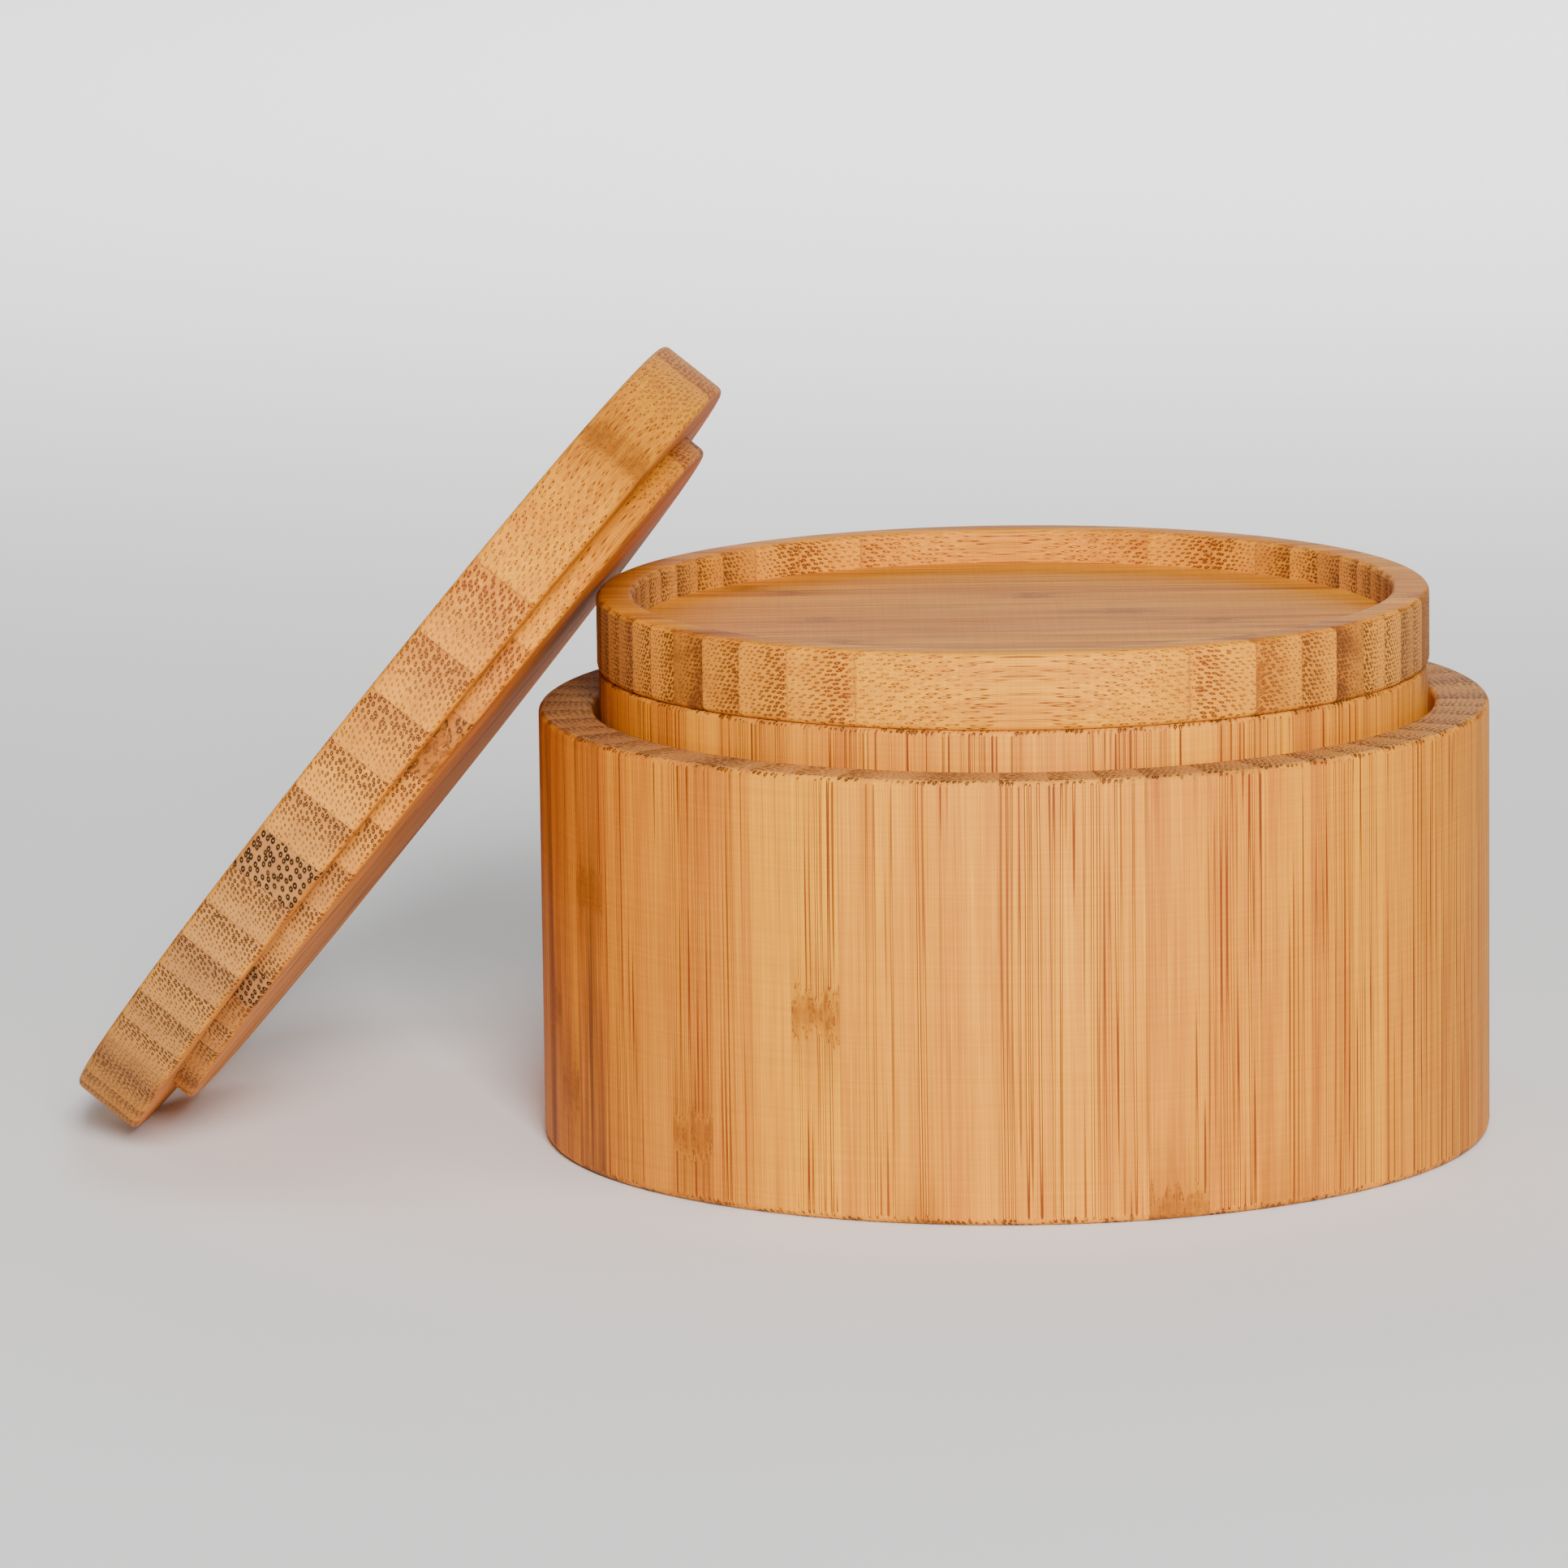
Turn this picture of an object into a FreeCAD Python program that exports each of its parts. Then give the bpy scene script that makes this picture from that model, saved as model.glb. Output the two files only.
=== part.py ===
import FreeCAD, Part
import math
import os
import Sketcher

# Nested round box of laminated bamboo: an open jar, a cup that stands in it, a tray-lid on the cup,
# and the jar's own lid leaning against the tray with its foot on the table.
# Millimetres, +Z up. The origin is the centre of the jar's underside, and the lid leans on the -X side.

doc = FreeCAD.newDocument("NestedBambooBox")

DRIVING = {
    "jar_radius": 60.0,
    "jar_bore_radius": 53.1,
    "jar_height": 55.0,
    "jar_floor_thickness": 6.0,
    "jar_stave_count": 56,
    "cup_radius": 52.3,
    "cup_bore_radius": 46.3,
    "cup_height": 53.8,
    "cup_floor_thickness": 5.0,
    "cup_stave_count": 50,
    "floor_strip_width": 6.0,
    "tray_radius": 52.5,
    "tray_thickness": 9.5,
    "recess_radius": 47.8,
    "recess_depth": 4.3,
    "boss_radius": 45.6,
    "boss_height": 2.0,
    "tray_strip_width": 4.4,
    "lid_radius": 60.0,
    "lid_thickness": 9.5,
    "plug_radius": 52.5,
    "plug_thickness": 3.1,
    "lid_strip_width": 6.0,
    "edge_round": 0.8,
    "foot_round": 1.2,
    "lean_angle": 51.5,
    "lean_gap": 0.3,
    "lid_sideways": -2.6,
    "jar_floor_grain": 35.0,
    "cup_floor_grain": -20.0,
    "tray_grain": 8.2,
    "lid_grain": 62.0,
    "plug_grain": 58.0,
}

sheet = doc.addObject("Spreadsheet::Sheet", "sizes")
for row, (alias, value) in enumerate(DRIVING.items(), start=1):
    sheet.set(f"A{row}", alias)
    sheet.set(f"B{row}", str(value))
    sheet.setAlias(f"B{row}", alias)
doc.recompute()


def size(alias):
    return float(sheet.get(alias))


def total(expression):
    """The value of alias names joined by plus and minus signs; "0" stands for nothing."""
    value, sign = 0.0, 1
    for word in expression.split():
        if word in "+-":
            sign = 1 if word == "+" else -1
        elif word != "0":
            value += sign * size(word)
    return value


def bound(expression):
    """The same names written for the document's own expressions."""
    return " ".join(word if word in "+-" else f"sizes.{word}" for word in expression.split())


def origin_feature(body, role):
    return next(feature for feature in body.Origin.OriginFeatures if feature.Role == role)


def pin_corner(sketch, corner, kind, expression):
    """Hold an outline's corner at its bound distance from the origin, or on the axis for "0"."""
    if expression == "0":
        axis = {"DistanceX": -2, "DistanceY": -1}[kind]
        sketch.addConstraint(Sketcher.Constraint("PointOnObject", corner, 1, axis))
        return
    distance = Sketcher.Constraint(kind, -1, 1, corner, 1, total(expression))
    index = sketch.addConstraint(distance)
    sketch.renameConstraint(index, f"{kind}{corner}")
    sketch.setExpression(f"Constraints.{kind}{corner}", bound(expression))


def turned_blank(name, outline):
    """A body turned about Z from a closed outline of (radius, height) expressions."""
    body = doc.addObject("PartDesign::Body", name)
    sketch = body.newObject("Sketcher::SketchObject", name + "Outline")
    sketch.AttachmentSupport = [(origin_feature(body, "XZ_Plane"), "")]
    sketch.MapMode = "FlatFace"
    corners = [FreeCAD.Vector(total(radius), total(height), 0) for radius, height in outline]
    for index, corner in enumerate(corners):
        following = corners[(index + 1) % len(corners)]
        sketch.addGeometry(Part.LineSegment(corner, following), False)
    for index, (radius, height) in enumerate(outline):
        previous = (index - 1) % len(outline)
        sketch.addConstraint(Sketcher.Constraint("Coincident", previous, 2, index, 1))
        pin_corner(sketch, index, "DistanceX", radius)
        pin_corner(sketch, index, "DistanceY", height)
    turn = body.newObject("PartDesign::Revolution", name + "Turn")
    turn.Profile = sketch
    turn.ReferenceAxis = (origin_feature(body, "Z_Axis"), [""])
    turn.Angle = 360
    body.Tip = turn
    doc.recompute()
    return body


def circle_name(shape, radius, height):
    """The name of the circular edge with this radius at this height."""
    for index, edge in enumerate(shape.Edges, start=1):
        curve = edge.Curve
        if not isinstance(curve, Part.Circle):
            continue
        if abs(curve.Radius - radius) < 0.001 and abs(curve.Center.z - height) < 0.001:
            return f"Edge{index}"
    raise ValueError(f"no circle of radius {radius} at height {height}")


def round_over(body, name, radius_alias, corners):
    """Round the circular edges that pass through the given (radius, height) corners."""
    base = body.Tip
    edges = [circle_name(base.Shape, total(radius), total(height)) for radius, height in corners]
    fillet = body.newObject("PartDesign::Fillet", body.Name + name)
    fillet.Base = (base, edges)
    fillet.setExpression("Radius", f"sizes.{radius_alias}")
    body.Tip = fillet
    doc.recompute()


def disc_blank(name, radius, thickness):
    outline = [("0", "0"), (radius, "0"), (radius, thickness), ("0", thickness)]
    return turned_blank(name, outline)


def ring_blank(name, radius, bore, height):
    outline = [(bore, "0"), (radius, "0"), (radius, height), (bore, height)]
    return turned_blank(name, outline)


def common_part(name, blank, cutter):
    piece = doc.addObject("Part::Common", name)
    piece.Base = blank
    piece.Tool = cutter
    return piece


def sawn_strips(name, blank, radius_alias, width_alias):
    """The blank's glued strips, side by side across Y, each cut out of it by its own slab."""
    count = math.ceil(2 * size(radius_alias) / size(width_alias))
    strips = []
    for index in range(count):
        slab = doc.addObject("Part::Box", f"{name}_slab_{index + 1:02d}")
        slab.setExpression("Length", f"sizes.{radius_alias} * 3")
        slab.setExpression("Width", f"sizes.{width_alias}")
        slab.Height = 60
        slab.setExpression("Placement.Base.x", f"-sizes.{radius_alias} * 1.5")
        slab.setExpression("Placement.Base.y", f"({index} - {count} / 2) * sizes.{width_alias}")
        slab.setExpression("Placement.Base.z", "-20")
        strips.append(common_part(f"{name}_{index + 1:02d}", blank, slab))
    return strips


def sawn_staves(name, blank, radius_alias, count_alias):
    """The blank's glued staves, each cut out of it by its own wedge."""
    count = int(size(count_alias))
    staves = []
    for index in range(count):
        wedge = doc.addObject("Part::Cylinder", f"{name}_wedge_{index + 1:02d}")
        wedge.setExpression("Radius", f"sizes.{radius_alias} * 1.5")
        wedge.Height = 100
        wedge.setExpression("Angle", f"360 / sizes.{count_alias}")
        turn = FreeCAD.Rotation(FreeCAD.Vector(0, 0, 1), index * 360 / count)
        wedge.Placement = FreeCAD.Placement(FreeCAD.Vector(0, 0, -20), turn)
        staves.append(common_part(f"{name}_{index + 1:02d}", blank, wedge))
    return staves


def grouped(name, pieces):
    """One named sub-part that holds its pieces as separate solids."""
    group = doc.addObject("Part::Compound", name)
    group.Links = pieces
    return group


def upright(height, grain_degrees=0):
    """A place on the jar's axis, turned so that strips run at the grain angle from X."""
    turn = FreeCAD.Rotation(FreeCAD.Vector(0, 0, 1), grain_degrees)
    return FreeCAD.Placement(FreeCAD.Vector(0, 0, height), turn)


def leaning(offset, grain_degrees):
    """A place on the leaning lid's axis, this far above the underside of the lid's board.

    The rounded foot of the board touches the table, and the plug's flat face passes the
    tray's rounded top edge at the lean gap.
    """
    angle = math.radians(size("lean_angle"))
    sine, cosine = math.sin(angle), math.cos(angle)
    edge = size("edge_round")
    tray_top = total("jar_floor_thickness + cup_height + tray_thickness")
    corner_drop = edge * (sine + cosine - 1)
    tray_reach = total("tray_radius - edge_round") * sine + (tray_top - edge) * cosine + edge
    clearance = size("lean_gap") + size("plug_thickness")
    foot = -(tray_reach + clearance + corner_drop * cosine) / sine
    slope = FreeCAD.Vector(cosine, 0, sine)
    normal = FreeCAD.Vector(-sine, 0, cosine)
    centre = FreeCAD.Vector(foot, size("lid_sideways"), -corner_drop) + slope * size("lid_radius")
    tilt = FreeCAD.Rotation(FreeCAD.Vector(0, 1, 0), -size("lean_angle"))
    turn = FreeCAD.Rotation(FreeCAD.Vector(0, 0, 1), grain_degrees)
    return FreeCAD.Placement(centre + normal * offset, tilt.multiply(turn))


def jar_staves():
    blank = ring_blank("JarWall", "jar_radius", "jar_bore_radius", "jar_height")
    rim = [("jar_radius", "jar_height"), ("jar_bore_radius", "jar_height")]
    round_over(blank, "Rim", "edge_round", rim)
    round_over(blank, "Foot", "foot_round", [("jar_radius", "0")])
    staves = sawn_staves("jar_stave", blank, "jar_radius", "jar_stave_count")
    return [(grouped("jar_staves", staves), upright(0))]


def jar_floor():
    blank = disc_blank("JarFloor", "jar_bore_radius", "jar_floor_thickness")
    strips = sawn_strips("jar_floor_strip", blank, "jar_bore_radius", "floor_strip_width")
    return [(grouped("jar_floor", strips), upright(0, size("jar_floor_grain")))]


def cup_staves():
    blank = ring_blank("CupWall", "cup_radius", "cup_bore_radius", "cup_height")
    rim = [("cup_radius", "cup_height"), ("cup_bore_radius", "cup_height"), ("cup_radius", "0")]
    round_over(blank, "Edges", "edge_round", rim)
    staves = sawn_staves("cup_stave", blank, "cup_radius", "cup_stave_count")
    return [(grouped("cup_staves", staves), upright(size("jar_floor_thickness")))]


def cup_floor():
    blank = disc_blank("CupFloor", "cup_bore_radius", "cup_floor_thickness")
    strips = sawn_strips("cup_floor_strip", blank, "cup_bore_radius", "floor_strip_width")
    place = upright(size("jar_floor_thickness"), size("cup_floor_grain"))
    return [(grouped("cup_floor", strips), place)]


def tray_strips():
    """The tray-lid's board: a shallow recess above and a bevelled locating boss below."""
    top = "boss_height + tray_thickness"
    sunk = "boss_height + tray_thickness - recess_depth"
    outline = [
        ("0", "0"),
        ("boss_radius - boss_height", "0"),
        ("boss_radius", "boss_height"),
        ("tray_radius", "boss_height"),
        ("tray_radius", top),
        ("recess_radius", top),
        ("recess_radius", sunk),
        ("0", sunk),
    ]
    blank = turned_blank("Tray", outline)
    edges = [("tray_radius", "boss_height"), ("tray_radius", top), ("recess_radius", top)]
    round_over(blank, "Edges", "edge_round", edges)
    strips = sawn_strips("tray_strip", blank, "tray_radius", "tray_strip_width")
    place = upright(total("jar_floor_thickness + cup_height - boss_height"), size("tray_grain"))
    return [(strip, place) for strip in strips]


def lid_strips():
    blank = disc_blank("Lid", "lid_radius", "lid_thickness")
    round_over(blank, "Edges", "edge_round", [("lid_radius", "0"), ("lid_radius", "lid_thickness")])
    strips = sawn_strips("lid_strip", blank, "lid_radius", "lid_strip_width")
    return [(strip, leaning(0, size("lid_grain"))) for strip in strips]


def lid_plug():
    blank = disc_blank("Plug", "plug_radius", "plug_thickness")
    round_over(blank, "Edge", "edge_round", [("plug_radius", "0")])
    strips = sawn_strips("lid_plug_strip", blank, "plug_radius", "lid_strip_width")
    place = leaning(-size("plug_thickness"), size("plug_grain"))
    return [(grouped("lid_plug", strips), place)]


subparts = []
for build in (jar_staves, jar_floor, cup_staves, cup_floor, tray_strips, lid_strips, lid_plug):
    subparts += build()
for subpart, place in subparts:
    subpart.Label = subpart.Name
    subpart.Placement = place
doc.recompute()

for feature in doc.Objects:
    broken = {"Invalid", "Error"} & set(feature.State)
    if broken:
        raise RuntimeError(f"{feature.Name} is {broken}")
    shape = getattr(feature, "Shape", None)
    if shape is not None and (shape.isNull() or not shape.isValid()):
        raise RuntimeError(f"{feature.Name} has a broken shape")

os.makedirs("parts", exist_ok=True)
for subpart, place in subparts:
    subpart.Shape.exportStep(f"parts/{subpart.Label}.step")
    solids = len(subpart.Shape.Solids)
    print(subpart.Label, solids, "solids", round(subpart.Shape.Volume / 1000, 2), "cm3")
print(len(subparts), "sub-parts")
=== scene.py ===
import math
import random
from bisect import bisect_right

import bmesh
import bpy
from mathutils import Matrix, Vector


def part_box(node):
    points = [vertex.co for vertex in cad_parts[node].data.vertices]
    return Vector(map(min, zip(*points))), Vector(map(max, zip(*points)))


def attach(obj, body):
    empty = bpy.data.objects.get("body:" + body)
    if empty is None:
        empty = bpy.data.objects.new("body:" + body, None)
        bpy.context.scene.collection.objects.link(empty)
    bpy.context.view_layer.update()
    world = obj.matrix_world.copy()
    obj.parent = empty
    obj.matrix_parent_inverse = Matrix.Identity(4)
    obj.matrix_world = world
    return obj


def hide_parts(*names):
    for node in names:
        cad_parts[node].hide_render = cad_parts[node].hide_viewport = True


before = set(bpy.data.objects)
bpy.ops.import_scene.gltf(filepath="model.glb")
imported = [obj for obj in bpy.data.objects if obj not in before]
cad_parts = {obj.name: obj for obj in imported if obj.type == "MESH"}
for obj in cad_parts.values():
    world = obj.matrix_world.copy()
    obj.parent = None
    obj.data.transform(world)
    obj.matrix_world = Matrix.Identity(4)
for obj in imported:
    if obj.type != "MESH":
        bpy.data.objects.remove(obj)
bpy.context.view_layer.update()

mm = 0.001
print("frame loaded")

smoothness = {
    "roundSegments": 4,
    "turnSteps": 192,        # facets round a board
    "staveSteps": 3,         # facets across a stave
    "sharpAngle": 35,        # degrees
}


def drawSection(bm, corners):
    # corners are (radius, height, rounding) in mm, round the section
    verts = [bm.verts.new((radius * mm, 0, height * mm)) for radius, height, rounding in corners]
    bm.faces.new(verts)
    for vert, (radius, height, rounding) in zip(verts, corners):
        if rounding:
            bmesh.ops.bevel(bm, geom=[vert], offset=rounding * mm, offset_type="OFFSET",
                            segments=smoothness["roundSegments"], profile=0.5,
                            affect="VERTICES", material=-1)


def turnDisc(bm, corners):
    # the section's outline without its edge on the axis, turned right round
    drawSection(bm, corners)
    bmesh.ops.delete(bm, geom=bm.faces[:], context="FACES_ONLY")
    onAxis = [edge for edge in bm.edges if all(abs(vert.co.x) < 1e-8 for vert in edge.verts)]
    bmesh.ops.delete(bm, geom=onAxis, context="EDGES")
    bmesh.ops.spin(bm, geom=bm.verts[:] + bm.edges[:], axis=(0, 0, 1), cent=(0, 0, 0),
                   angle=math.tau, steps=smoothness["turnSteps"], use_merge=True)
    bmesh.ops.remove_doubles(bm, verts=bm.verts[:], dist=1e-7)
    bmesh.ops.recalc_face_normals(bm, faces=bm.faces[:])


def cutAcross(bm, y, **sides):
    everything = bm.verts[:] + bm.edges[:] + bm.faces[:]
    cut = bmesh.ops.bisect_plane(bm, geom=everything, dist=1e-7, plane_co=(0, y, 0),
                                 plane_no=(0, 1, 0), **sides)["geom_cut"]
    return [item for item in cut if isinstance(item, bmesh.types.BMEdge)]


def keepStrip(bm, low, high):
    # saws one strip out of a turned board and closes its two glue faces
    bmesh.ops.holes_fill(bm, edges=cutAcross(bm, low, clear_inner=True), sides=0)
    bmesh.ops.holes_fill(bm, edges=cutAcross(bm, high, clear_outer=True), sides=0)
    bmesh.ops.recalc_face_normals(bm, faces=bm.faces[:])


def stampStrips(bm, where, bounds, tones):
    # each face gets its strip's tone, and each corner how far across its strip it lies
    tone = bm.faces.layers.float.new("tone")
    across = bm.loops.layers.float.new("across")
    for face in bm.faces:
        middle = where(face.calc_center_median())
        index = min(max(bisect_right(bounds, middle) - 1, 0), len(tones) - 1)
        low, high = bounds[index], bounds[index + 1]
        face[tone] = tones[index]
        for loop in face.loops:
            place = where(loop.vert.co)
            if place - middle > math.pi and high - low < 1:
                place -= math.tau
            if middle - place > math.pi and high - low < 1:
                place += math.tau
            loop[across] = min(max((place - low) / (high - low), 0), 1)


def pickTones(count, seed, marked):
    # neighbours differ: a pale strip tends to sit beside a deeper one
    rng = random.Random(seed)
    tones = [0.33 + 0.16 * (index % 2) + rng.uniform(-0.17, 0.17) for index in range(count)]
    for number, tone in marked.items():
        tones[number - 1] = tone
    return tones


def finishPiece(bm, name, body, material, node, place=None):
    if place:
        bmesh.ops.transform(bm, matrix=place, verts=bm.verts[:])
    mesh = bpy.data.meshes.new(name)
    bm.to_mesh(mesh)
    bm.free()
    mesh.shade_smooth()
    mesh.set_sharp_from_angle(angle=math.radians(smoothness["sharpAngle"]))
    mesh.materials.append(material)
    piece = bpy.data.objects.new(name, mesh)
    bpy.context.collection.objects.link(piece)
    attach(piece, body)
    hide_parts(node)
    return piece


def aroundAxis(point):
    return math.atan2(point.y, point.x)


def acrossBoard(point):
    return point.y


def hexToLinear(text):
    channels = [int(text[i:i + 2], 16) / 255 for i in (1, 3, 5)]
    linear = [c / 12.92 if c <= 0.04045 else ((c + 0.055) / 1.055) ** 2.4 for c in channels]
    return (*linear, 1)


def addNode(tree, kind, inputs=None, **settings):
    # inputs maps a socket's name or number to a value, a socket or a node's first output
    node = tree.nodes.new(kind)
    for key, value in settings.items():
        setattr(node, key, value)
    for key, value in (inputs or {}).items():
        if isinstance(value, bpy.types.Node):
            value = value.outputs[0]
        if isinstance(value, bpy.types.NodeSocket):
            tree.links.new(value, node.inputs[key])
        else:
            node.inputs[key].default_value = value
    return node


# Strip bamboo, glued with clear adhesive, turned, fine-sanded and oiled: golden tan, matte satin,
# with brown fibre bundles that show as streaks along the grain and as dots on end grain.
bamboo = {
    "pale": "#EF9F14",
    "deep": "#C6701E",
    "dark": "#7C4220",
    "end": "#DC8F2E",
    "endDark": "#80481E",
    "fibre": "#84380A",
    "fibreOnEnd": "#4A240E",
    "coarseFibre": "#1C0D07",
    "paintedShadeGrey": "#A07C5C",    # painted shade: end grain cut squarely to the surface is turned grey
    "fibreCore": "#F7AE1C",
    "glue": "#6E3A16",
    "stain": "#94500F",
    "fibreSpacing": 0.74,    # mm between vascular bundles
    "fineSpacing": 0.2,      # mm between single fibres
    "scratchSpacing": 0.3,   # mm between sanding marks
    "glueWidth": 0.12,       # mm
    "arcRadius": 58,         # mm, where lengths round a wall are measured
    "culmSpread": (640, 83, 57),    # mm, how far apart in the culm the strips come from
    "nodeSpread": 180,       # mm that the culm's nodes are scattered over
    "nodeStart": -65,
    "nodeRaggedness": 8,     # mm
    "wander": (0, 0.6, 1.2),  # mm that bundles stray sideways
    "roughness": 0.6,
    "gloss": 0.2,
    "refraction": 1.47,
    "bumpStrength": 0.35,
    "bumpDepth": 0.06,       # mm
}


def bambooMaterial(name, stripWidth, axis, place=None, look=bamboo):
    material = bpy.data.materials.new(name)
    material.use_nodes = True
    tree = material.node_tree
    tree.nodes.clear()
    texture = addNode(tree, "ShaderNodeTexCoord")
    if place:
        # into the board's own frame in mm: X along the grain, Y across the strips, Z through them
        turn = place.to_euler()
        grain = addNode(tree, "ShaderNodeMapping", {"Vector": texture.outputs["Object"],
                        "Location": place.translation, "Rotation": turn, "Scale": (mm, mm, mm)},
                        vector_type="TEXTURE")
    else:
        # round the wall in mm: X up the grain, Y along the arc, Z out from the axis
        parts = addNode(tree, "ShaderNodeSeparateXYZ", {0: texture.outputs["Object"]})
        angle = addNode(tree, "ShaderNodeMath", {0: parts.outputs[1], 1: parts.outputs[0]},
                        operation="ARCTAN2")
        arc = addNode(tree, "ShaderNodeMath", {0: angle, 1: look["arcRadius"]},
                      operation="MULTIPLY")
        flat = addNode(tree, "ShaderNodeVectorMath",
                       {0: texture.outputs["Object"], 1: (1, 1, 0)}, operation="MULTIPLY")
        out = addNode(tree, "ShaderNodeVectorMath", {0: flat}, operation="LENGTH")
        up = addNode(tree, "ShaderNodeMath", {0: parts.outputs[2], 1: 1000}, operation="MULTIPLY")
        depth = addNode(tree, "ShaderNodeMath", {0: out.outputs[1], 1: 1000},
                        operation="MULTIPLY")
        grain = addNode(tree, "ShaderNodeCombineXYZ", {0: up, 1: arc, 2: depth})
    tone = addNode(tree, "ShaderNodeAttribute", attribute_name="tone").outputs["Fac"]
    across = addNode(tree, "ShaderNodeAttribute", attribute_name="across").outputs["Fac"]
    chance = addNode(tree, "ShaderNodeTexWhiteNoise", {"W": tone}, noise_dimensions="1D")
    luck = addNode(tree, "ShaderNodeSeparateColor", {0: chance.outputs["Color"]})

    # every strip is cut from another place in the culm
    shift = addNode(tree, "ShaderNodeVectorMath", {0: chance.outputs["Color"],
                    1: look["culmSpread"]}, operation="MULTIPLY")
    own = addNode(tree, "ShaderNodeVectorMath", {0: grain, 1: shift}, operation="ADD")

    # a culm's node crosses about one strip in three, as a ragged band
    lengthwise = addNode(tree, "ShaderNodeSeparateXYZ", {0: grain}).outputs[0]
    mark = addNode(tree, "ShaderNodeMath", {0: luck.outputs[1], 1: look["nodeSpread"],
                   2: look["nodeStart"]}, operation="MULTIPLY_ADD")
    raggedSpace = addNode(tree, "ShaderNodeVectorMath", {0: own, 1: (0.3, 0.9, 0.9)},
                          operation="MULTIPLY")
    ragged = addNode(tree, "ShaderNodeTexNoise", {"Vector": raggedSpace, "Scale": 1,
                     "Detail": 3})
    torn = addNode(tree, "ShaderNodeMath", {0: ragged.outputs[0],
                   1: look["nodeRaggedness"], 2: mark}, operation="MULTIPLY_ADD")
    gap = addNode(tree, "ShaderNodeMath", {0: lengthwise, 1: torn}, operation="SUBTRACT")
    near = addNode(tree, "ShaderNodeMath", {0: gap}, operation="ABSOLUTE")
    knuckle = addNode(tree, "ShaderNodeMapRange", {"Value": near, "From Min": 0.2,
                      "From Max": 3.4, "To Min": 1, "To Max": 0},
                      interpolation_type="SMOOTHSTEP")

    # fibre bundles wander a little along their length, and swing aside at a node
    slow = addNode(tree, "ShaderNodeVectorMath", {0: own, 1: (1 / 80, 1 / 9, 1 / 9)},
                   operation="MULTIPLY")
    drift = addNode(tree, "ShaderNodeTexNoise", {"Vector": slow, "Scale": 1, "Detail": 1})
    swing = addNode(tree, "ShaderNodeVectorMath", {0: drift.outputs["Color"],
                    1: look["wander"]}, operation="MULTIPLY")
    aside = addNode(tree, "ShaderNodeMath", {0: knuckle, 1: ragged.outputs[0]},
                    operation="MULTIPLY")
    pushed = addNode(tree, "ShaderNodeMath", {0: aside, 1: 1.5}, operation="MULTIPLY")
    twist = addNode(tree, "ShaderNodeCombineXYZ", {1: pushed, 2: pushed})
    wandered = addNode(tree, "ShaderNodeVectorMath", {0: own, 1: swing}, operation="ADD")
    placed = addNode(tree, "ShaderNodeVectorMath", {0: wandered, 1: twist}, operation="ADD")
    section = addNode(tree, "ShaderNodeSeparateXYZ", {0: placed})
    slant = addNode(tree, "ShaderNodeMath", {0: section.outputs[2], 1: 0.5,
                    2: section.outputs[1]}, operation="MULTIPLY_ADD")
    plane = addNode(tree, "ShaderNodeCombineXYZ", {0: slant, 1: section.outputs[2]})
    coarse = addNode(tree, "ShaderNodeMapRange", {"Value": tone, "From Min": 0.95,
                     "From Max": 0.97})
    perMm = addNode(tree, "ShaderNodeMapRange", {"Value": coarse,
                    "To Min": 1 / look["fibreSpacing"], "To Max": 0.66 / look["fibreSpacing"]})
    cells = addNode(tree, "ShaderNodeTexVoronoi", {"Vector": plane, "Scale": perMm,
                    "Randomness": 0.5}, voronoi_dimensions="2D")
    cellLuck = addNode(tree, "ShaderNodeSeparateColor", {0: cells.outputs["Color"]})

    # bundles are bigger and darker towards the side that was the culm's skin
    skin = addNode(tree, "ShaderNodeMath", {0: luck.outputs[2], 1: 0.88},
                   operation="LESS_THAN")
    side = addNode(tree, "ShaderNodeMath", {0: across, 1: skin}, operation="SUBTRACT")
    towards = addNode(tree, "ShaderNodeMath", {0: side}, operation="ABSOLUTE")
    crowded = addNode(tree, "ShaderNodeMapRange", {"Value": towards, "From Min": 0.1,
                      "From Max": 0.95, "To Min": 0.45, "To Max": 1},
                      interpolation_type="SMOOTHSTEP")
    crowd = addNode(tree, "ShaderNodeMath", {0: crowded, 1: coarse}, operation="MAXIMUM")
    size = addNode(tree, "ShaderNodeMath", {0: crowd, 1: 0.32, 2: 0.12},
                   operation="MULTIPLY_ADD")
    bundle = addNode(tree, "ShaderNodeMapRange", {"Value": cells.outputs["Distance"],
                     "From Min": 0.17, "From Max": size, "To Min": 1, "To Max": 0})
    offRing = addNode(tree, "ShaderNodeMath", {0: cells.outputs["Distance"], 1: 0.2},
                      operation="SUBTRACT")
    ring = addNode(tree, "ShaderNodeMath", {0: offRing}, operation="ABSOLUTE")
    line = addNode(tree, "ShaderNodeMapRange", {"Value": ring, "From Min": 0.035,
                   "From Max": 0.085, "To Min": 1, "To Max": 0})
    core = addNode(tree, "ShaderNodeMapRange", {"Value": cells.outputs["Distance"],
                   "From Min": 0.03, "From Max": 0.13, "To Min": 0.9, "To Max": 0})
    fadeSpace = addNode(tree, "ShaderNodeVectorMath", {0: own, 1: (1 / 60, 1 / 0.9, 1 / 0.9)},
                        operation="MULTIPLY")
    fade = addNode(tree, "ShaderNodeTexNoise", {"Vector": fadeSpace, "Scale": 1, "Detail": 1})
    faded = addNode(tree, "ShaderNodeMapRange", {"Value": fade.outputs[0], "From Min": 0.35,
                    "From Max": 0.6, "To Min": 0.6, "To Max": 1})
    each = addNode(tree, "ShaderNodeMath", {0: cellLuck.outputs[0], 1: 0.4, 2: 0.6},
                   operation="MULTIPLY_ADD")
    some = addNode(tree, "ShaderNodeMath", {0: each, 1: faded}, operation="MULTIPLY")
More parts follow.
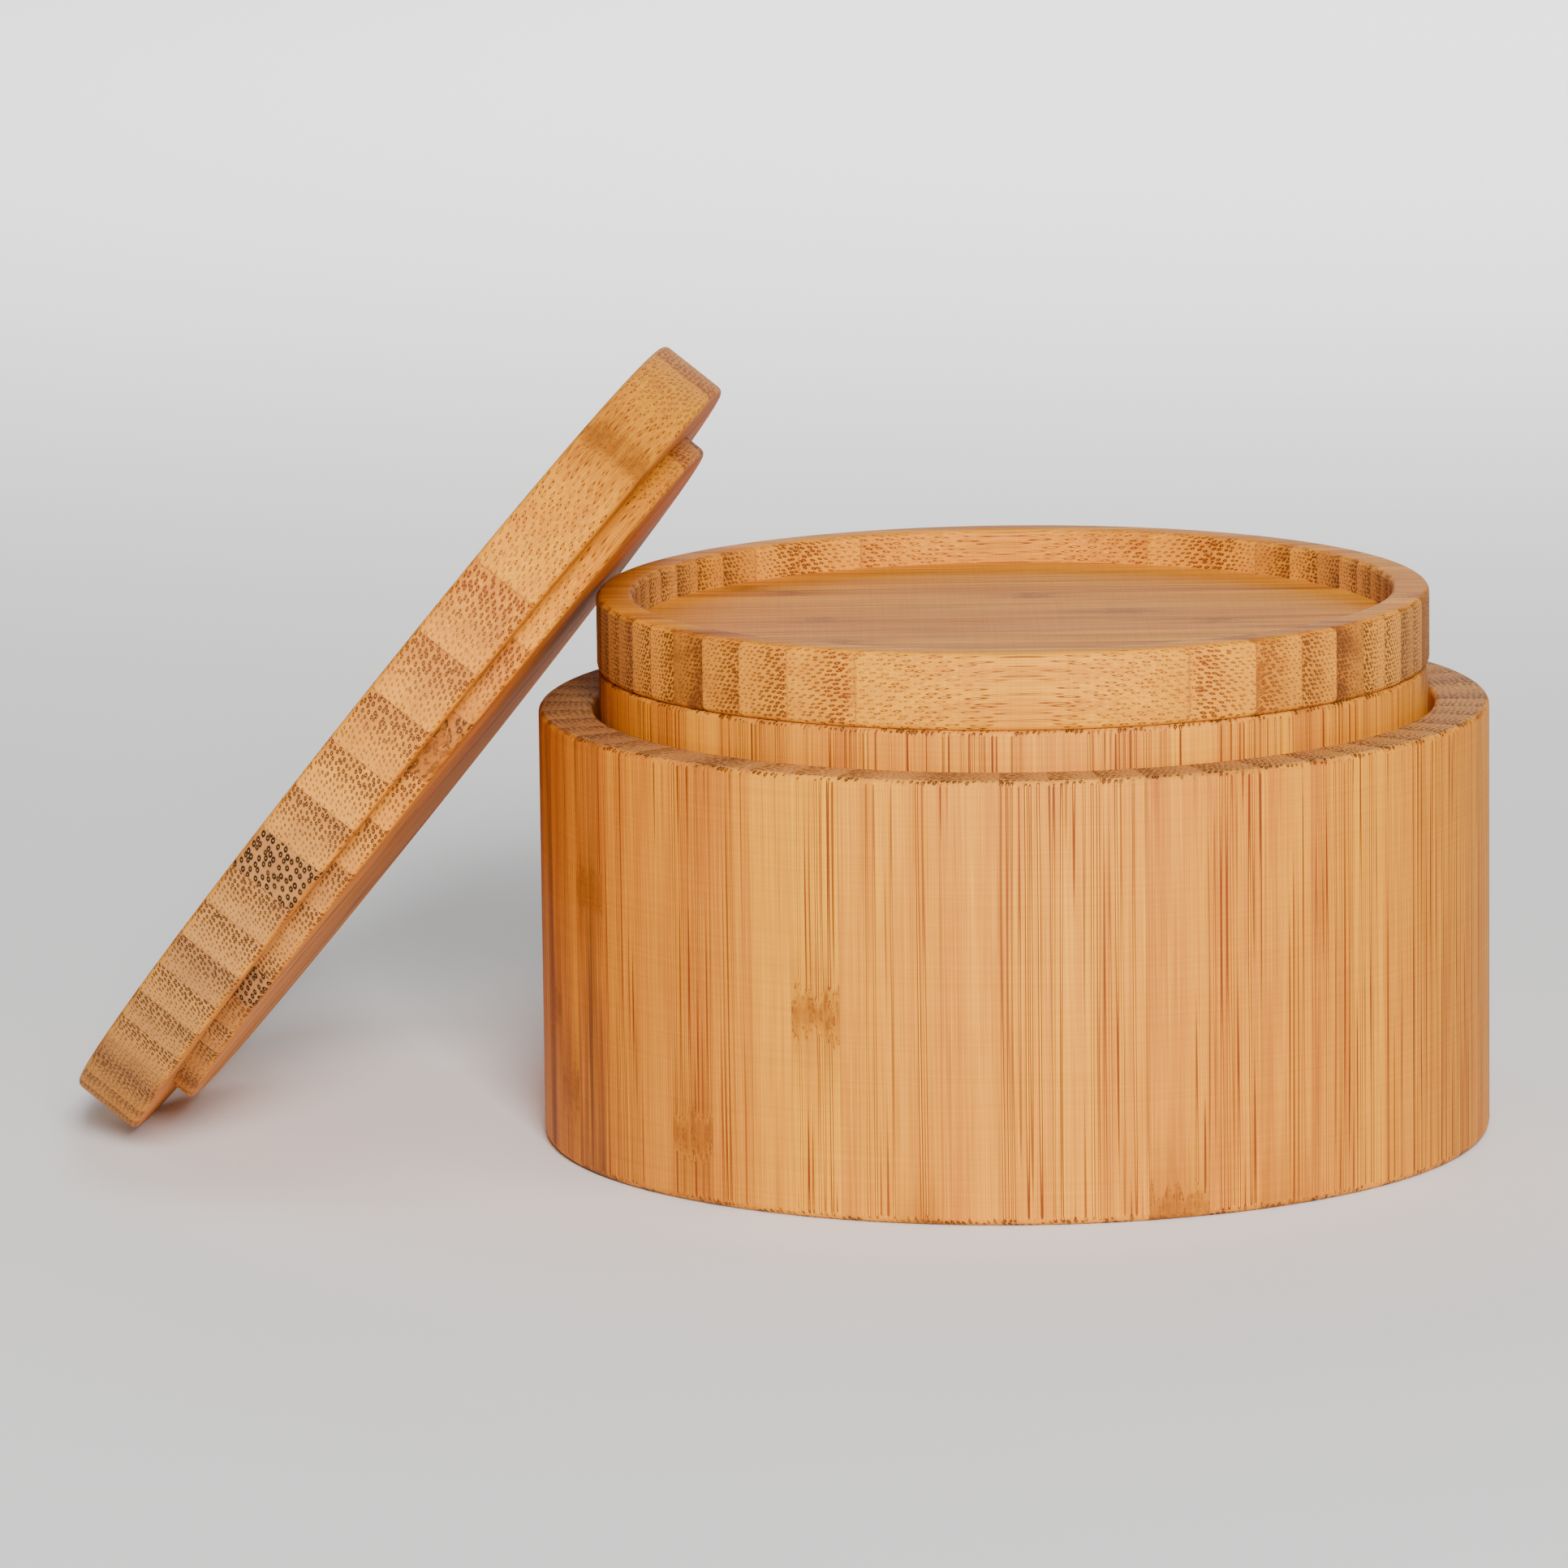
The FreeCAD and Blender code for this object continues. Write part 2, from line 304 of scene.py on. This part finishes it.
    alongCut = addNode(tree, "ShaderNodeMath", {0: some, 1: 1.3}, operation="MULTIPLY")
    squarely = addNode(tree, "ShaderNodeMath", {0: crowd, 1: 2.6}, operation="MULTIPLY")
    acrossCut = addNode(tree, "ShaderNodeMath", {0: some, 1: squarely}, operation="MULTIPLY")

    # how squarely the surface cuts the grain
    facing = addNode(tree, "ShaderNodeVectorMath", {0: texture.outputs["Normal"], 1: axis},
                     operation="DOT_PRODUCT")
    square = addNode(tree, "ShaderNodeMath", {0: facing.outputs["Value"]}, operation="ABSOLUTE")
    endGrain = addNode(tree, "ShaderNodeMapRange", {"Value": square, "From Min": 0.2,
                       "From Max": 0.95}, interpolation_type="SMOOTHSTEP")

    fineSpace = addNode(tree, "ShaderNodeVectorMath", {0: own,
                        1: (1 / 22, 1 / look["fineSpacing"], 1 / look["fineSpacing"])},
                        operation="MULTIPLY")
    fine = addNode(tree, "ShaderNodeTexNoise", {"Vector": fineSpace, "Scale": 1, "Detail": 2})
    broadSpace = addNode(tree, "ShaderNodeVectorMath", {0: own, 1: (1 / 70, 1 / 2.4, 1 / 2.4)},
                         operation="MULTIPLY")
    broad = addNode(tree, "ShaderNodeTexNoise", {"Vector": broadSpace, "Scale": 1, "Detail": 3})

    # colour, from the strip's own tone to its fibres, nodes and glue lines
    wave = addNode(tree, "ShaderNodeMath", {0: broad.outputs[0], 1: 0.5}, operation="SUBTRACT")
    ground = addNode(tree, "ShaderNodeMath", {0: coarse, 1: -0.4, 2: tone},
                     operation="MULTIPLY_ADD")
    waved = addNode(tree, "ShaderNodeMath", {0: wave, 1: 0.95, 2: ground},
                    operation="MULTIPLY_ADD")
    skinward = addNode(tree, "ShaderNodeMath", {0: crowd, 1: 0.22, 2: -0.1},
                       operation="MULTIPLY_ADD")
    body = addNode(tree, "ShaderNodeMath", {0: waved, 1: skinward}, operation="ADD",
                   use_clamp=True)
    ramp = addNode(tree, "ShaderNodeValToRGB", {0: body})
    ramp.color_ramp.elements[0].color = hexToLinear(look["pale"])
    ramp.color_ramp.elements[1].color = hexToLinear(look["dark"])
    ramp.color_ramp.elements.new(0.8).color = hexToLinear(look["deep"])
    endSide = addNode(tree, "ShaderNodeMath", {0: crowd, 1: 0.5, 2: ground},
                      operation="MULTIPLY_ADD")
    endWaved = addNode(tree, "ShaderNodeMath", {0: wave, 1: 0.7, 2: endSide},
                       operation="MULTIPLY_ADD")
    endDepth = addNode(tree, "ShaderNodeMapRange", {"Value": endWaved, "From Min": 0.6,
                       "From Max": 1.4})
    endTone = addNode(tree, "ShaderNodeMix", {0: endDepth, 6: hexToLinear(look["end"]),
                      7: hexToLinear(look["endDark"])}, data_type="RGBA")
    # painted shade: the more squarely the surface cuts the grain, the greyer its end grain colour
    # is made
    paintedShadeAmount = addNode(tree, "ShaderNodeMapRange", {"Value": square, "From Min": 0.8,
                      "From Max": 1, "To Max": 0.5})
    paintedShadeMix = addNode(tree, "ShaderNodeMix", {0: paintedShadeAmount, 6: endTone.outputs[2],
                     7: hexToLinear(look["paintedShadeGrey"])}, data_type="RGBA")
    endAmount = addNode(tree, "ShaderNodeMath", {0: endGrain, 1: 0.9}, operation="MULTIPLY")
    onEnd = addNode(tree, "ShaderNodeMix", {0: endAmount, 6: ramp, 7: paintedShadeMix.outputs[2]},
                    data_type="RGBA")
    fineReach = addNode(tree, "ShaderNodeMapRange", {"Value": endGrain, "To Min": 0.45,
                        "To Max": 0.12})
    fineAmount = addNode(tree, "ShaderNodeMapRange", {"Value": fine.outputs[0], "From Min": 0.5,
                         "From Max": 0.75, "To Min": 0, "To Max": fineReach})
    fined = addNode(tree, "ShaderNodeMix", {0: fineAmount, 6: onEnd.outputs[2],
                    7: hexToLinear(look["stain"])}, data_type="RGBA")
    paleAmount = addNode(tree, "ShaderNodeMapRange", {"Value": fine.outputs[0], "From Min": 0.46,
                         "From Max": 0.3, "To Min": 0, "To Max": fineReach})
    paled = addNode(tree, "ShaderNodeMix", {0: paleAmount, 6: fined.outputs[2],
                    7: hexToLinear(look["fibreCore"])}, data_type="RGBA")
    cutOpen = addNode(tree, "ShaderNodeMapRange", {"Value": endGrain, "From Max": 0.2})
    drawn = addNode(tree, "ShaderNodeMix", {0: cutOpen, 2: line, 3: bundle})
    strength = addNode(tree, "ShaderNodeMix", {0: cutOpen, 2: alongCut, 3: acrossCut})
    ink = addNode(tree, "ShaderNodeMath", {0: drawn, 1: strength}, operation="MULTIPLY",
                  use_clamp=True)
    inkTone = addNode(tree, "ShaderNodeMix", {0: endGrain, 6: hexToLinear(look["fibre"]),
                      7: hexToLinear(look["fibreOnEnd"])}, data_type="RGBA")
    inkDeep = addNode(tree, "ShaderNodeMix", {0: coarse, 6: inkTone.outputs[2],
                      7: hexToLinear(look["coarseFibre"])}, data_type="RGBA")
    fibred = addNode(tree, "ShaderNodeMix", {0: ink, 6: paled.outputs[2], 7: inkDeep.outputs[2]},
                     data_type="RGBA")
    coreInk = addNode(tree, "ShaderNodeMath", {0: core, 1: some}, operation="MULTIPLY")
    cored = addNode(tree, "ShaderNodeMix", {0: coreInk, 6: fibred.outputs[2],
                    7: hexToLinear(look["fibreCore"])}, data_type="RGBA")
    stainAmount = addNode(tree, "ShaderNodeMath", {0: aside, 1: 0.7}, operation="MULTIPLY")
    smear = addNode(tree, "ShaderNodeMapRange", {"Value": near, "From Max": 13, "To Min": 0.7,
                    "To Max": 0}, interpolation_type="SMOOTHSTEP")
    stainAll = addNode(tree, "ShaderNodeMath", {0: smear, 1: fade.outputs[0], 2: stainAmount},
                       operation="MULTIPLY_ADD", use_clamp=True)
    stained = addNode(tree, "ShaderNodeMix", {0: stainAll, 6: cored.outputs[2],
                      7: hexToLinear(look["stain"])}, data_type="RGBA")
    far = addNode(tree, "ShaderNodeMath", {0: 1, 1: across}, operation="SUBTRACT")
    edge = addNode(tree, "ShaderNodeMath", {0: across, 1: far}, operation="MINIMUM")
    edgeMm = addNode(tree, "ShaderNodeMath", {0: edge, 1: stripWidth}, operation="MULTIPLY")
    seam = addNode(tree, "ShaderNodeMapRange", {"Value": edgeMm, "From Min": 0.03,
                   "From Max": look["glueWidth"], "To Min": 0.28, "To Max": 0})
    glued = addNode(tree, "ShaderNodeMix", {0: seam, 6: stained.outputs[2],
                    7: hexToLinear(look["glue"])}, data_type="RGBA")

    # fine marks across the grain, left by sanding on the lathe
    scratchSpace = addNode(tree, "ShaderNodeVectorMath", {0: grain,
                           1: (1 / look["scratchSpacing"], 1 / 24, 1 / 24)}, operation="MULTIPLY")
    scratch = addNode(tree, "ShaderNodeTexNoise", {"Vector": scratchSpace, "Scale": 1,
                      "Detail": 2})
    scratched = addNode(tree, "ShaderNodeMapRange", {"Value": scratch.outputs[0],
                        "From Min": 0.3, "From Max": 0.7, "To Min": 0.95, "To Max": 1.05})
    coloured = addNode(tree, "ShaderNodeVectorMath", {0: glued.outputs[2], "Scale": scratched},
                       operation="SCALE")

    # sanded to a matte satin: fibres a little glossier than the pith, end grain duller
    rough = addNode(tree, "ShaderNodeMapRange", {"Value": fine.outputs[0], "From Min": 0.3,
                    "From Max": 0.7, "To Min": look["roughness"] - 0.07,
                    "To Max": look["roughness"] + 0.08})
    dull = addNode(tree, "ShaderNodeMath", {0: endGrain, 1: 0.12, 2: rough},
                   operation="MULTIPLY_ADD")
    pores = addNode(tree, "ShaderNodeMath", {0: ink, 1: -0.8, 2: fine.outputs[0]},
                    operation="MULTIPLY_ADD")
    relief = addNode(tree, "ShaderNodeMath", {0: seam, 1: -0.6, 2: pores},
                     operation="MULTIPLY_ADD")
    bump = addNode(tree, "ShaderNodeBump", {"Height": relief, "Strength": look["bumpStrength"],
                   "Distance": look["bumpDepth"] * mm})
    shader = addNode(tree, "ShaderNodeBsdfPrincipled", {"Base Color": coloured,
                     "Roughness": dull, "IOR": look["refraction"],
                     "Specular IOR Level": look["gloss"], "Normal": bump})
    addNode(tree, "ShaderNodeOutputMaterial", {"Surface": shader})
    return material


# the walls: staves stood side by side, glued and turned to a ring
def wallPieces(wall, name, corners, material, body, node):
    rng = random.Random(wall["seed"])
    widths = [1 + rng.uniform(-1, 1) * wall["widthVariation"] for _ in range(wall["staves"])]
    scale = math.tau / sum(widths)
    bounds = [-math.pi]
    for width in widths:
        bounds.append(bounds[-1] + width * scale)
    tones = pickTones(wall["staves"], wall["seed"], wall["marked"])
    step = wall["stavesPerPiece"]
    for first in range(0, wall["staves"], step):
        bm = bmesh.new()
        drawSection(bm, corners)
        bmesh.ops.rotate(bm, verts=bm.verts[:], matrix=Matrix.Rotation(bounds[first], 3, "Z"))
        last = bm.verts[:] + bm.edges[:] + bm.faces[:]
        for index in range(first, first + step):
            sweep = bounds[index + 1] - bounds[index]
            last = bmesh.ops.spin(bm, geom=last, axis=(0, 0, 1), cent=(0, 0, 0), angle=sweep,
                                  steps=smoothness["staveSteps"])["geom_last"]
        bmesh.ops.recalc_face_normals(bm, faces=bm.faces[:])
        stampStrips(bm, aroundAxis, bounds, tones)
        finishPiece(bm, f"{name}_{first // step + 1:02d}", body, material, node)


def boxOf(names):
    corners = [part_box(name) for name in names]
    low = Vector([min(box[0][i] for box in corners) for i in range(3)])
    high = Vector([max(box[1][i] for box in corners) for i in range(3)])
    return low, high


def stripBounds(radius, width):
    count = math.ceil(2 * radius / width - 1e-6)
    return [(index - count / 2) * width * mm for index in range(count + 1)]


def sawnBoard(board, name, corners, radius, place, material, body):
    bounds = stripBounds(radius, board["strip"])
    tones = pickTones(len(bounds) - 1, board["seed"], board["marked"])
    for index in range(len(bounds) - 1):
        bm = bmesh.new()
        turnDisc(bm, corners)
        keepStrip(bm, bounds[index], bounds[index + 1])
        stampStrips(bm, acrossBoard, bounds, tones)
        label = f"{name}_{index + 1:02d}"
        finishPiece(bm, f"{label}_board", body, material, label, place)


def gluedDisc(name, corners, radius, strip, seed, marked, place, material, body, node):
    bounds = stripBounds(radius, strip)
    bm = bmesh.new()
    turnDisc(bm, corners)
    for y in bounds[1:-1]:
        cutAcross(bm, y)
    stampStrips(bm, acrossBoard, bounds, pickTones(len(bounds) - 1, seed, marked))
    finishPiece(bm, name, body, material, node, place)


def levelPlace(height, degrees):
    return Matrix.Translation((0, 0, height)) @ Matrix.Rotation(math.radians(degrees), 4, "Z")


def grainAxis(place):
    return tuple(place.to_3x3() @ Vector((1, 0, 0)))


def discSection(radius, low, high, lowRound=0, highRound=0):
    return [(0, low, 0), (radius, low, lowRound), (radius, high, highRound), (0, high, 0)]


jar = {
    "foot": 1.2,             # rounds, all sizes in mm
    "rim": 0.8,
    "staves": 56,
    "stavesPerPiece": 4,
    "staveWidth": 6.7,       # sets how wide the glue lines are drawn
    "widthVariation": 0.16,  # how unevenly the staves were split
    "seed": 21,
    # tones of chosen staves by number, from 0, pale, to 0.94, stained; 0.98 is coarse grained.
    # The deeper tones of staves 1 to 7, round the jar's left side, are partly their own darker
    # colour and partly painted shade where the lid shades that side
    "marked": {1: 0.66, 2: 0.74, 3: 0.62, 4: 0.76, 5: 0.66, 6: 0.82, 7: 0.56, 9: 0.64, 10: 0.5,
               12: 0.08, 56: 0.7},
}
cup = {
    "edge": 0.8,
    "staves": 50,
    "stavesPerPiece": 5,
    "widthVariation": 0.14,
    "seed": 5,
    "marked": {1: 0.7, 2: 0.8, 3: 0.74, 4: 0.6},
}
wood = bambooMaterial("Laminated bamboo staves, turned and oiled", jar["staveWidth"], (0, 0, 1))
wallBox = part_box("jar_staves")
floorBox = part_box("jar_floor")
outer = (wallBox[1][0] - wallBox[0][0]) / 2 / mm
bore = (floorBox[1][0] - floorBox[0][0]) / 2 / mm
top = wallBox[1][2] / mm
wallPieces(jar, "jar_staves", [(bore, 0, 0), (outer, 0, jar["foot"]), (outer, top, jar["rim"]),
           (bore, top, jar["rim"])], wood, "jar", "jar_staves")
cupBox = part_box("cup_staves")
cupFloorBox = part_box("cup_floor")
cupOuter = (cupBox[1][0] - cupBox[0][0]) / 2 / mm
cupBore = (cupFloorBox[1][0] - cupFloorBox[0][0]) / 2 / mm
cupLow, cupTop = cupBox[0][2] / mm, cupBox[1][2] / mm
wallPieces(cup, "cup_staves", [(cupBore, cupLow, 0), (cupOuter, cupLow, cup["edge"]),
           (cupOuter, cupTop, cup["edge"]), (cupBore, cupTop, cup["edge"])], wood, "cup",
           "cup_staves")
print("walls made")

floors = {
    "strip": 6.0,
    "jarTurn": 35.0,         # degrees from X that the strips run at
    "cupTurn": -20.0,
    "seed": 8,
}
for node, radius, turn, body in (("jar_floor", bore, floors["jarTurn"], "jar"),
                                 ("cup_floor", cupBore, floors["cupTurn"], "cup")):
    low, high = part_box(node)
    place = levelPlace(low[2], turn)
    material = bambooMaterial(f"Laminated bamboo floor, {body}", floors["strip"],
                              grainAxis(place), place)
    gluedDisc(f"{node}_disc", discSection(radius, 0, (high[2] - low[2]) / mm), radius,
              floors["strip"], floors["seed"], {}, place, material, body, node)

tray = {
    "strip": 4.4,
    "turn": 8.2,
    "recessRadius": 47.8,
    "recessDepth": 4.3,
    "bossRadius": 45.6,
    "bossHeight": 2.0,
    "edge": 0.8,
    "pastCup": 0.2,          # how far its radius passes the cup's
    "fibreSpacing": 0.54,    # thinner culms than the walls
    "seed": 3,
    "marked": {1: 0.14, 2: 0.3, 3: 0.38, 5: 0.84},
}
trayNames = [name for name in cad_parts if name.startswith("tray_strip")]
trayLow, trayHigh = boxOf(trayNames)
place = levelPlace(trayLow.z, tray["turn"])
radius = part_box("cup_staves")[1][0] / mm + tray["pastCup"]
height = (trayHigh.z - trayLow.z) / mm
boss, sunk = tray["bossHeight"], height - tray["recessDepth"]
traySection = [
    (0, 0, 0), (tray["bossRadius"] - boss, 0, 0), (tray["bossRadius"], boss, 0),
    (radius, boss, tray["edge"]), (radius, height, tray["edge"]),
    (tray["recessRadius"], height, tray["edge"]), (tray["recessRadius"], sunk, 0), (0, sunk, 0),
]
wood = bambooMaterial("Laminated bamboo tray, turned and oiled", tray["strip"], grainAxis(place),
                      place, {**bamboo, "fibreSpacing": tray["fibreSpacing"]})
sawnBoard(tray, "tray_strip", traySection, radius, place, wood, "tray")

lid = {
    "strip": 6.0,
    "turn": 62.0,            # degrees from the slope
    "lean": 51.5,
    "thickness": 9.5,
    "edge": 0.8,
    "fibreSpacing": 0.6,
    "seed": 11,
    "marked": {7: 0.98, 8: 0.5},
}
lidNames = [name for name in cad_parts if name.startswith("lid_strip")]
lidLow, lidHigh = boxOf(lidNames)
lean = Matrix.Rotation(math.radians(-lid["lean"]), 4, "Y")
middle = Matrix.Translation((lidLow + lidHigh) / 2) @ lean
half = lid["thickness"] / 2
place = middle @ Matrix.Rotation(math.radians(lid["turn"]), 4, "Z")
lidLook = {**bamboo, "fibreSpacing": lid["fibreSpacing"]}
wood = bambooMaterial("Laminated bamboo lid, turned and oiled", lid["strip"], grainAxis(place),
                      place, lidLook)
sawnBoard(lid, "lid_strip", discSection(outer, -half, half, lid["edge"], lid["edge"]), outer,
          place, wood, "lid")

plug = {
    "radius": 52.5,
    "thickness": 3.1,
    "strip": 6.0,
    "turn": 58.0,
    "seed": 17,
    "marked": {3: 0.98, 9: 0.98},
}
place = middle @ Matrix.Rotation(math.radians(plug["turn"]), 4, "Z")
wood = bambooMaterial("Laminated bamboo plug, turned and oiled", plug["strip"], grainAxis(place),
                      place, lidLook)
gluedDisc("lid_plug_disc", discSection(plug["radius"], -half - plug["thickness"], -half,
          lid["edge"]), plug["radius"], plug["strip"], plug["seed"], plug["marked"],
          place, wood, "lid", "lid_plug")
print("boards made")

# matte off-white sweep
studio = {
    "floor": "#F4F3F2",
    "floorSize": 12,
    "floorRoughness": 0.9,
    "world": 0.07,
    "key": (0.5, -2.1, 1.0, 0.6, 100),      # x, y, z and size in metres, watts
    "fill": (1.7, -0.9, 0.7, 0.8, 4),
    "top": (0.3, -0.4, 1.9, 1.0, 9),
    "back": (-0.1, 2.2, 0.55, 1.5, 17),
    "side": (-1.7, 0.9, 0.9, 1.0, 8),
    "sweep": (0, 1.25, 1.7, 62, 240),       # x, y, z, cone in degrees, watts
    "sweepBlend": 0.9,
    "sweepSoftness": 0.3,
    "aim": (0, 0, 0.04),
}
floorMesh = bpy.data.meshes.new("floor")
bm = bmesh.new()
bmesh.ops.create_grid(bm, x_segments=1, y_segments=1, size=studio["floorSize"])
bm.to_mesh(floorMesh)
bm.free()
floor = bpy.data.objects.new("floor", floorMesh)
bpy.context.collection.objects.link(floor)
paper = bpy.data.materials.new("Matte white paper sweep")
paper.use_nodes = True
shader = paper.node_tree.nodes["Principled BSDF"]
shader.inputs["Base Color"].default_value = hexToLinear(studio["floor"])
shader.inputs["Roughness"].default_value = studio["floorRoughness"]
floorMesh.materials.append(paper)

world = bpy.data.worlds.new("Studio")
world.use_nodes = True
world.node_tree.nodes["Background"].inputs[0].default_value = (1, 1, 1, 1)
world.node_tree.nodes["Background"].inputs[1].default_value = studio["world"]
bpy.context.scene.world = world
aim = Vector(studio["aim"])
for name in ("key", "fill", "top", "back", "side"):
    x, y, z, size, watts = studio[name]
    light = bpy.data.lights.new(name, "AREA")
    light.energy = watts
    light.size = size
    lamp = bpy.data.objects.new(name, light)
    lamp.location = (x, y, z)
    lamp.rotation_euler = (aim - lamp.location).to_track_quat("-Z", "Y").to_euler()
    bpy.context.collection.objects.link(lamp)

x, y, z, cone, watts = studio["sweep"]
light = bpy.data.lights.new("sweep", "SPOT")
light.energy = watts
light.spot_size = math.radians(cone)
light.spot_blend = studio["sweepBlend"]
light.shadow_soft_size = studio["sweepSoftness"]
lamp = bpy.data.objects.new("sweep", light)
lamp.location = (x, y, z)
bpy.context.collection.objects.link(lamp)

camera = {"from": (0.1515, -1.2555, 0.2685), "to": (-0.0288, -0.00415, 0.0444), "roll": 0.745,
          "lens": 233.0}
lens = bpy.data.cameras.new("camera")
lens.lens = camera["lens"]
lens.sensor_width = 36
lens.clip_end = 50
view = bpy.data.objects.new("camera", lens)
aimLine = Vector(camera["to"]) - Vector(camera["from"])
turn = aimLine.to_track_quat("-Z", "Y").to_matrix().to_4x4()
view.matrix_world = (Matrix.Translation(camera["from"]) @ turn
                     @ Matrix.Rotation(math.radians(-camera["roll"]), 4, "Z"))
bpy.context.collection.objects.link(view)
bpy.context.scene.camera = view
print("studio set")
